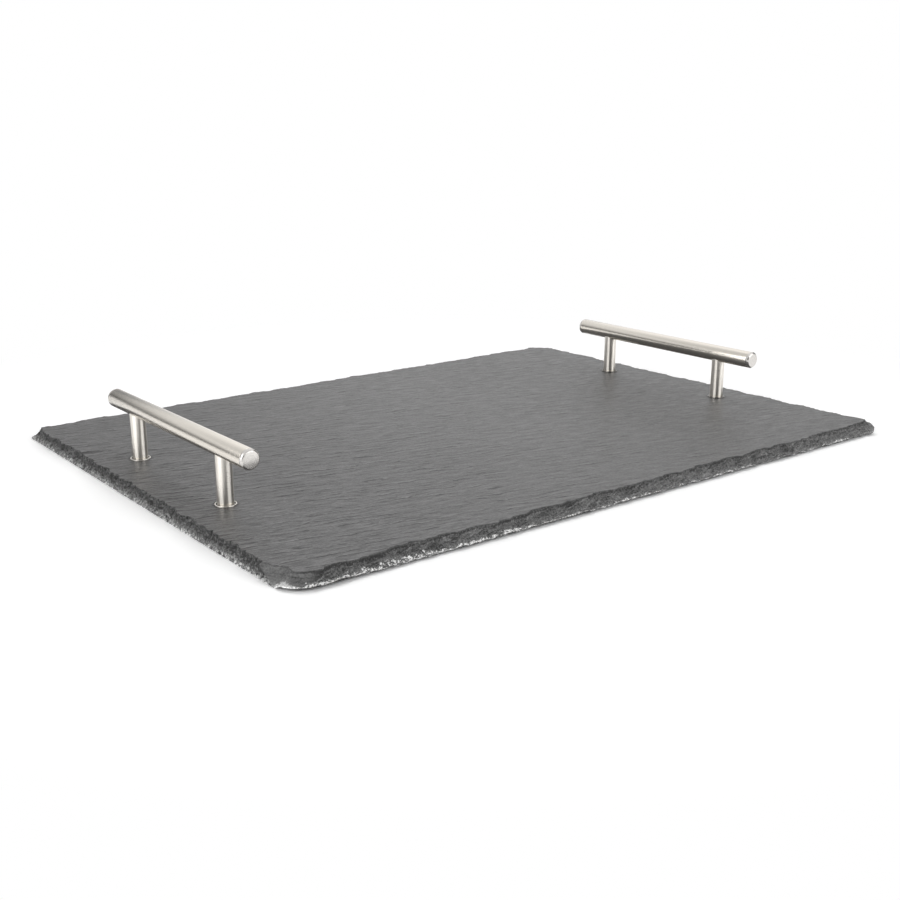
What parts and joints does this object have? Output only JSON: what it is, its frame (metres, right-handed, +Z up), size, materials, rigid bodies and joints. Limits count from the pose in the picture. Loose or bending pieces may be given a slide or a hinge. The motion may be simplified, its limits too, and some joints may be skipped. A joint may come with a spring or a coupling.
{
  "type": "slate serving board",
  "caption": "Rectangular slate serving board with hand-dressed flaked edges and a tubular steel bar handle on posts at each short end, standing on small anti-scratch pads.",
  "frame": {"origin": "centre of the board's outline on the surface that the feet stand on", "axes": "+X along the long side towards the right handle, +Y from the front long edge to the back one, +Z up"},
  "size_m": [0.4, 0.3, 0.04],
  "materials": {
    "slate": "natural cleft face, flaked edges",
    "satin_steel": "satin, brushed round the tube",
    "turned_steel": "fine turned face with a bright chamfer",
    "polished_steel": "polished",
    "plain_steel": "plain machined",
    "foot_rubber": "matt"
  },
  "bodies": {
    "root": {"slate_board": "slate", "left_bar": "satin_steel", "right_bar": "satin_steel", "left_front_end_cap": "turned_steel", "left_rear_end_cap": "turned_steel", "right_front_end_cap": "turned_steel", "right_rear_end_cap": "turned_steel", "left_front_insert": "plain_steel", "left_rear_insert": "plain_steel", "right_front_insert": "plain_steel", "right_rear_insert": "plain_steel", "left_front_post": "polished_steel", "left_rear_post": "polished_steel", "right_front_post": "polished_steel", "right_rear_post": "polished_steel", "post_washers": "polished_steel", "handle_screws": "plain_steel", "left_front_foot": "foot_rubber", "left_rear_foot": "foot_rubber", "right_front_foot": "foot_rubber", "right_rear_foot": "foot_rubber"}
  },
  "joints": []
}
